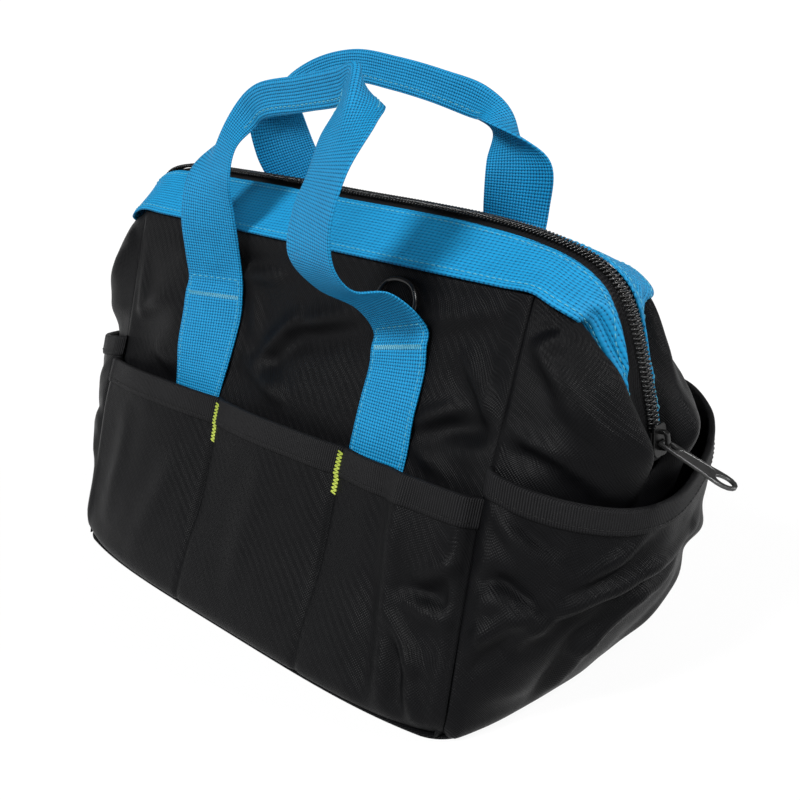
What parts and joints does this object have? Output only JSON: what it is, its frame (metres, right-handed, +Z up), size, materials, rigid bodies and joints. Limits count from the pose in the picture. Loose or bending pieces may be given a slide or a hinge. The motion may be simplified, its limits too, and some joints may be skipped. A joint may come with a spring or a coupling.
{
  "type": "wide mouth tool bag",
  "caption": "Tent-shaped cloth tool bag with a zipped mouth between bright webbing bands, webbing carry handles, long side pockets and gaping end pockets.",
  "frame": {"origin": "centre of the underside of the base", "axes": "+X along the bag towards the end where the zip slider is parked, the front with the D-ring faces -Y, +Z up"},
  "size_m": [0.4747, 0.2328, 0.3175],
  "materials": {
    "black_cloth": "matte coated oxford weave",
    "ribbed_tape": "ribbed binding tape",
    "blue_webbing": "ribbed woven webbing",
    "zip_tape": "herringbone zip tape",
    "zip_coil": "shiny nylon coil",
    "slider_metal": "satin black paint",
    "tab_metal": "satin dark grey",
    "ring_steel": "gloss black paint"
  },
  "bodies": {
    "bag": {"base_panel": "black_cloth", "front_panel": "black_cloth", "back_panel": "black_cloth", "end_panel_right": "black_cloth", "end_panel_left": "black_cloth", "front_pocket": "black_cloth", "back_pocket": "black_cloth", "end_pocket_right": "black_cloth", "end_pocket_left": "black_cloth", "front_binding": "ribbed_tape", "back_binding": "ribbed_tape", "end_binding_right": "ribbed_tape", "end_binding_left": "ribbed_tape", "mouth_band_front": "blue_webbing", "mouth_band_back": "blue_webbing", "zipper_tape_front": "zip_tape", "zipper_tape_back": "zip_tape", "zipper_chain": "zip_coil", "handle_front": "blue_webbing", "handle_back": "blue_webbing", "zip_slider": "slider_metal", "d_ring_loop": "ribbed_tape"},
    "tab": {"pull_tab": "tab_metal"},
    "ring": {"d_ring": "ring_steel"}
  },
  "joints": [
    {"name": "tab_hinge", "type": "hinge", "parent": "bag", "child": "tab", "pos_m": [0.21331, 0, 0.14572], "axis": [0, 1, 0], "range_deg": [-105, 45]},
    {"name": "ring_hinge", "type": "hinge", "parent": "bag", "child": "ring", "pos_m": [0.077, -0.04543, 0.19336], "axis": [1, 0, 0], "range_deg": [0, 65]}
  ]
}
